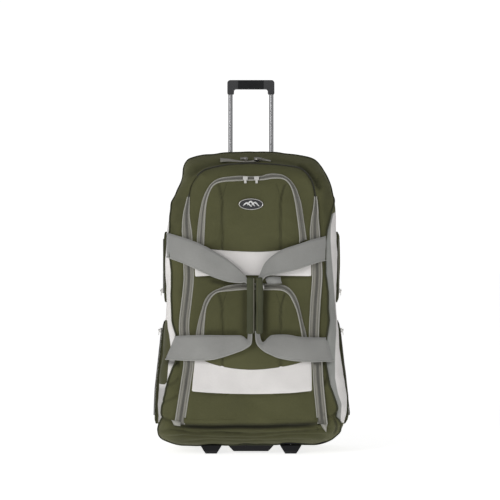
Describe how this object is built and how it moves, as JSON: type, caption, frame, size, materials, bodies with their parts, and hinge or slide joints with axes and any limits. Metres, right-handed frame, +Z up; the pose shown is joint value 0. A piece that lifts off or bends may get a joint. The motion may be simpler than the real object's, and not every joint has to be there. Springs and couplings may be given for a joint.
{
  "type": "rolling duffel bag",
  "caption": "Upright soft-sided rolling duffel bag with a telescopic trolley handle, drop-down front lid, zipped front and side pockets, wrapped carry straps and small rear wheels.",
  "frame": {"origin": "on the floor, at the centre of the footprint of the bag standing upright", "axes": "+Z up; the front lid faces -Y; the trolley handle and wheels are at +Y; +X is the viewer's right"},
  "size_m": [0.4178, 0.33, 0.822],
  "materials": {
    "grip_plastic": "fine texture",
    "grip_end_plastic": "fine texture",
    "button_plastic": "smooth",
    "spring_steel": "bright",
    "tube_metal": "satin",
    "black_plastic": "moulded",
    "skid_plastic": "glossy",
    "tyre": "matt rubber",
    "hub_plastic": "moulded",
    "green_fabric": "coarse woven polyester, matt",
    "webbing": "woven webbing, matt",
    "grip_fabric": "padded fabric",
    "zip_metal": "nickel plated",
    "badge_metal": "dark oval with a bright rim"
  },
  "bodies": {
    "bag": {"back_panel": "green_fabric", "left_side_panel": "green_fabric", "right_side_panel": "green_fabric", "top_panel": "green_fabric", "bottom_panel": "green_fabric", "front_frame": "green_fabric", "left_upper_side_pocket": "green_fabric", "left_lower_side_pocket": "green_fabric", "right_upper_side_pocket": "green_fabric", "right_lower_side_pocket": "green_fabric", "base_plate": "black_plastic", "skid_rails": "black_plastic", "base_skid": "skid_plastic", "base_screws": "spring_steel", "wheel_housing_left": "black_plastic", "wheel_housing_right": "black_plastic", "wheel_axles": "spring_steel", "tube_bracket": "black_plastic", "handle_socket": "black_plastic", "outer_tube_left": "tube_metal", "outer_tube_right": "tube_metal"},
    "lid": {"lid_panel": "green_fabric", "upper_pocket": "green_fabric", "lower_pocket": "green_fabric", "badge": "badge_metal"},
    "lower_stage": {"middle_tube_left": "tube_metal", "middle_tube_right": "tube_metal", "middle_tube_collars": "black_plastic"},
    "upper_stage": {"upper_tube_left": "tube_metal", "upper_tube_right": "tube_metal", "grip_bar": "grip_plastic", "grip_corners": "grip_end_plastic", "button_spring": "spring_steel"},
    "button": {"release_button": "button_plastic", "push_yoke": "button_plastic"},
    "left_bolt": {"lock_bolt_left": "spring_steel"},
    "right_bolt": {"lock_bolt_right": "spring_steel"},
    "left_wheel": {"wheel_tyre_left": "tyre", "wheel_hub_left": "hub_plastic", "wheel_bearings_left": "spring_steel"},
    "right_wheel": {"wheel_tyre_right": "tyre", "wheel_hub_right": "hub_plastic", "wheel_bearings_right": "spring_steel"},
    "left_carry": {"left_carry_webbing": "webbing", "left_grip_sleeve": "grip_fabric"},
    "right_carry": {"right_carry_webbing": "webbing", "right_grip_sleeve": "grip_fabric"},
    "left_main_slider": {"main_slider_left": "zip_metal"},
    "right_main_slider": {"main_slider_right": "zip_metal"},
    "left_main_pull": {"main_pull_left": "zip_metal"},
    "right_main_pull": {"main_pull_right": "zip_metal"},
    "left_pocket_slider": {"upper_pocket_slider_left": "zip_metal"},
    "right_pocket_slider": {"upper_pocket_slider_right": "zip_metal"},
    "left_pocket_pull": {"upper_pocket_pull_left": "zip_metal"},
    "right_pocket_pull": {"upper_pocket_pull_right": "zip_metal"},
    "low_pocket_slider": {"lower_pocket_slider": "zip_metal"},
    "left_upper_slider": {"left_upper_side_slider": "zip_metal"},
    "left_lower_slider": {"left_lower_side_slider": "zip_metal"},
    "right_upper_slider": {"right_upper_side_slider": "zip_metal"},
    "right_lower_slider": {"right_lower_side_slider": "zip_metal"}
  },
  "joints": [
    {"name": "handle_lower_stage", "type": "slide", "parent": "bag", "child": "lower_stage", "axis": [0, 0, 1], "range_m": [0, 0.16]},
    {"name": "handle_upper_stage", "type": "slide", "parent": "lower_stage", "child": "upper_stage", "axis": [0, 0, 1], "range_m": [-0.135, 0], "deforming": ["lock_bolt_left", "lock_bolt_right"]},
    {"name": "button_press", "type": "slide", "parent": "upper_stage", "child": "button", "axis": [0, 0, -1], "range_m": [0, 0.004], "stiffness_N_per_m": 900, "springref_m": -0.003, "deforming": ["button_spring"]},
    {"name": "left_bolt_retract", "type": "slide", "parent": "upper_stage", "child": "left_bolt", "axis": [1, 0, 0], "range_m": [0, 0.002]},
    {"name": "right_bolt_retract", "type": "slide", "parent": "upper_stage", "child": "right_bolt", "axis": [-1, 0, 0], "range_m": [0, 0.002]},
    {"name": "left_wheel_spin", "type": "hinge", "parent": "bag", "child": "left_wheel", "pos_m": [-0.086, 0.14, 0.025], "axis": [1, 0, 0], "continuous": true},
    {"name": "right_wheel_spin", "type": "hinge", "parent": "bag", "child": "right_wheel", "pos_m": [0.086, 0.14, 0.025], "axis": [1, 0, 0], "continuous": true},
    {"name": "lid_hinge", "type": "hinge", "parent": "bag", "child": "lid", "pos_m": [0, -0.1215, 0.067], "axis": [1, 0, 0], "range_deg": [0, 92], "deforming": ["left_carry_webbing", "left_grip_sleeve", "right_carry_webbing", "right_grip_sleeve"]},
    {"name": "left_carry_aside", "type": "hinge", "parent": "bag", "child": "left_carry", "pos_m": [-0.184, -0.092, 0.336], "axis": [0, 0, -1], "range_deg": [0, 150]},
    {"name": "right_carry_aside", "type": "hinge", "parent": "bag", "child": "right_carry", "pos_m": [0.184, -0.092, 0.336], "axis": [0, 0, 1], "range_deg": [0, 150]},
    {"name": "left_main_slide", "type": "slide", "parent": "bag", "child": "left_main_slider", "axis": [-1, 0, 0], "range_m": [0, 0.05]},
    {"name": "left_main_pull_swing", "type": "hinge", "parent": "left_main_slider", "child": "left_main_pull", "pos_m": [-0.012, -0.096, 0.6318], "axis": [0, -0.7682, 0.6402], "range_deg": [-5, 165]},
    {"name": "left_pocket_slide", "type": "slide", "parent": "lid", "child": "left_pocket_slider", "axis": [-1, 0, 0], "range_m": [0, 0.04]},
    {"name": "left_pocket_pull_swing", "type": "hinge", "parent": "left_pocket_slider", "child": "left_pocket_pull", "pos_m": [-0.012, -0.1415, 0.593], "axis": [0, -1, 0], "range_deg": [-85, 85]},
    {"name": "left_upper_side_slide", "type": "slide", "parent": "bag", "child": "left_upper_slider", "axis": [0, 0, 1], "range_m": [0, 0.1]},
    {"name": "left_lower_side_slide", "type": "slide", "parent": "bag", "child": "left_lower_slider", "axis": [-0.1104, 0, -0.9939], "range_m": [0, 0.1]},
    {"name": "right_main_slide", "type": "slide", "parent": "bag", "child": "right_main_slider", "axis": [1, 0, 0], "range_m": [0, 0.05]},
    {"name": "right_main_pull_swing", "type": "hinge", "parent": "right_main_slider", "child": "right_main_pull", "pos_m": [0.012, -0.096, 0.6318], "axis": [0, -0.7682, 0.6402], "range_deg": [-165, 5]},
    {"name": "right_pocket_slide", "type": "slide", "parent": "lid", "child": "right_pocket_slider", "axis": [1, 0, 0], "range_m": [0, 0.04]},
    {"name": "right_pocket_pull_swing", "type": "hinge", "parent": "right_pocket_slider", "child": "right_pocket_pull", "pos_m": [0.012, -0.1415, 0.593], "axis": [0, -1, 0], "range_deg": [-85, 85]},
    {"name": "right_upper_side_slide", "type": "slide", "parent": "bag", "child": "right_upper_slider", "axis": [0, 0, 1], "range_m": [0, 0.1]},
    {"name": "right_lower_side_slide", "type": "slide", "parent": "bag", "child": "right_lower_slider", "axis": [0.1104, 0, -0.9939], "range_m": [0, 0.1]},
    {"name": "low_pocket_slide", "type": "slide", "parent": "lid", "child": "low_pocket_slider", "axis": [1, 0, 0], "range_m": [-0.07, 0.035]}
  ],
  "couplings": [
    {"joint": "left_bolt_retract", "follows": "button_press", "ratio": 0.5},
    {"joint": "right_bolt_retract", "follows": "button_press", "ratio": 0.5},
    {"joint": "left_carry_aside", "follows": "lid_hinge", "ratio": 1.63},
    {"joint": "right_carry_aside", "follows": "lid_hinge", "ratio": 1.63}
  ]
}
